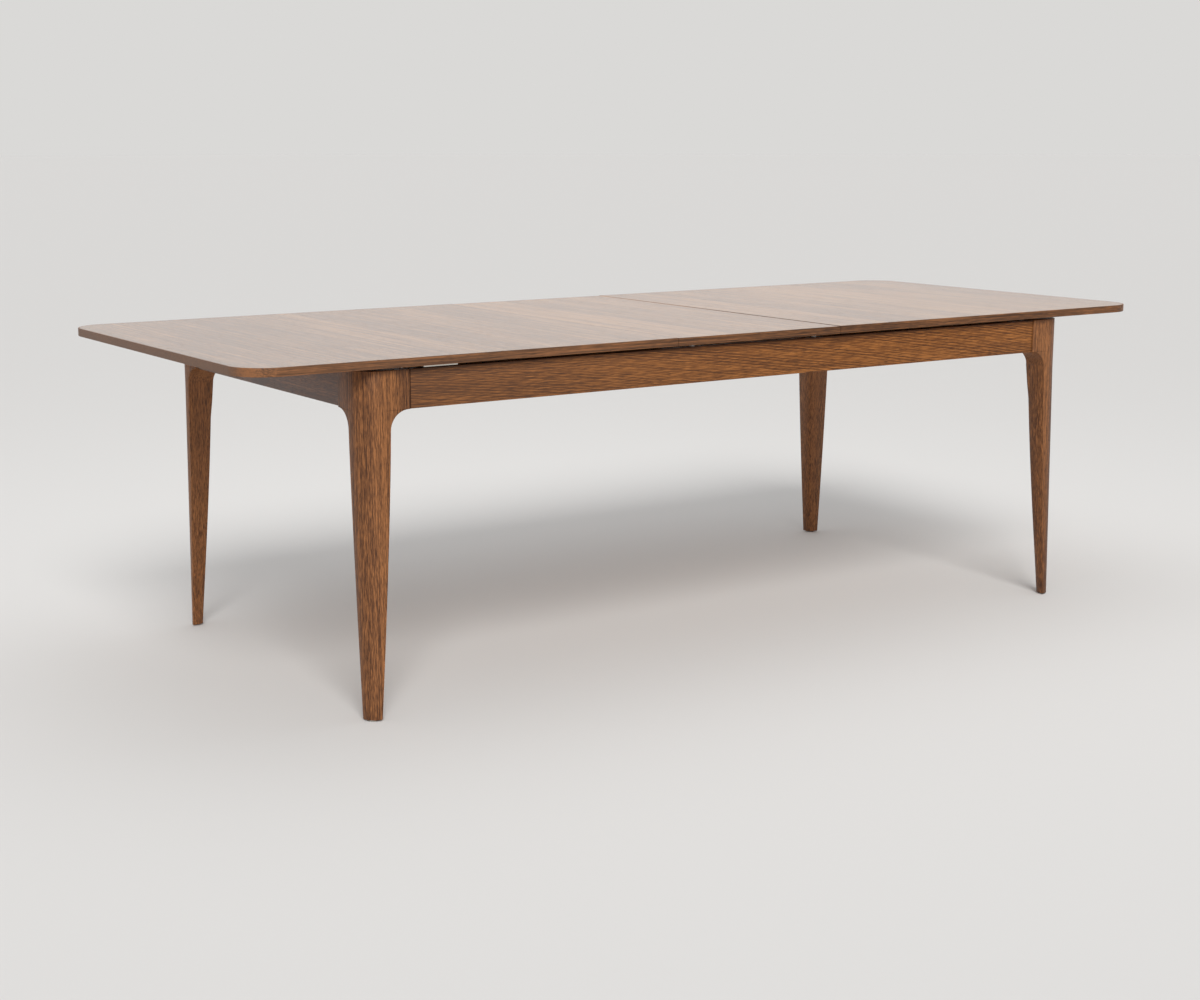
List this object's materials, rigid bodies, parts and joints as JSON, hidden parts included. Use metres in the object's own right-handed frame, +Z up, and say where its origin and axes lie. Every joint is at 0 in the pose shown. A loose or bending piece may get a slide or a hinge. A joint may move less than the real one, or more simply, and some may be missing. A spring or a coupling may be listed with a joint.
{
  "type": "extendable dining table",
  "caption": "Extendable wooden dining table: tapered legs and aprons, a top whose halves slide apart on grooved rails, and a loose centre leaf that lifts out.",
  "frame": {"origin": "centre of the footprint of the extended table, on the floor", "axes": "+X along the length, +Y across to the back long side, +Z up"},
  "size_m": [2.5, 1, 0.745],
  "materials": {
    "top_veneer": "brown stained open-grain veneer, satin lacquer, grain across the table",
    "edge_wood": "brown stained solid wood lipping, satin lacquer",
    "leg_wood": "brown stained solid wood, grain along the leg, satin lacquer",
    "apron_wood": "brown stained solid wood, grain along the apron, satin lacquer",
    "inner_wood": "plain hardwood, planed and lightly sealed",
    "steel": "zinc plated",
    "aluminium": "plain extruded strip",
    "nylon": "matt grey nylon"
  },
  "bodies": {
    "frame": {"front_left_leg": "leg_wood", "front_right_leg": "leg_wood", "back_left_leg": "leg_wood", "back_right_leg": "leg_wood", "front_apron": "apron_wood", "back_apron": "apron_wood", "left_apron": "apron_wood", "right_apron": "apron_wood", "front_left_brace": "inner_wood", "front_right_brace": "inner_wood", "back_left_brace": "inner_wood", "back_right_brace": "inner_wood", "front_guide_rail": "inner_wood", "back_guide_rail": "inner_wood", "left_cross_rail": "inner_wood", "right_cross_rail": "inner_wood", "leaf_rests": "nylon", "foot_glides": "nylon", "hanger_bolts": "steel", "bolt_washers": "steel", "bolt_nuts": "steel", "frame_dowels": "inner_wood", "brace_screws": "steel", "guide_rail_screws": "steel"},
    "left_top": {"left_panel": "top_veneer", "left_lipping": "edge_wood", "left_front_runner": "inner_wood", "left_back_runner": "inner_wood", "left_batten": "inner_wood", "left_strip": "aluminium", "left_stop_pins": "steel", "left_runner_screws": "steel", "left_batten_screws": "steel", "left_strip_screws": "steel"},
    "right_top": {"right_panel": "top_veneer", "right_lipping": "edge_wood", "right_front_runner": "inner_wood", "right_back_runner": "inner_wood", "right_batten": "inner_wood", "right_strip": "aluminium", "right_stop_pins": "steel", "right_runner_screws": "steel", "right_batten_screws": "steel", "right_strip_screws": "steel"},
    "leaf": {"leaf_panel": "top_veneer", "leaf_lippings": "edge_wood", "leaf_front_batten": "inner_wood", "leaf_back_batten": "inner_wood", "leaf_pegs": "steel", "leaf_batten_screws": "steel"}
  },
  "joints": [
    {"name": "left_top_slide", "type": "slide", "parent": "frame", "child": "left_top", "axis": [-1, 0, 0], "range_m": [0, 0.04]},
    {"name": "right_top_slide", "type": "slide", "parent": "frame", "child": "right_top", "axis": [1, 0, 0], "range_m": [0, 0.04]},
    {"name": "leaf_lift", "type": "slide", "parent": "frame", "child": "leaf", "axis": [0, 0, 1], "range_m": [0, 0.3]}
  ]
}
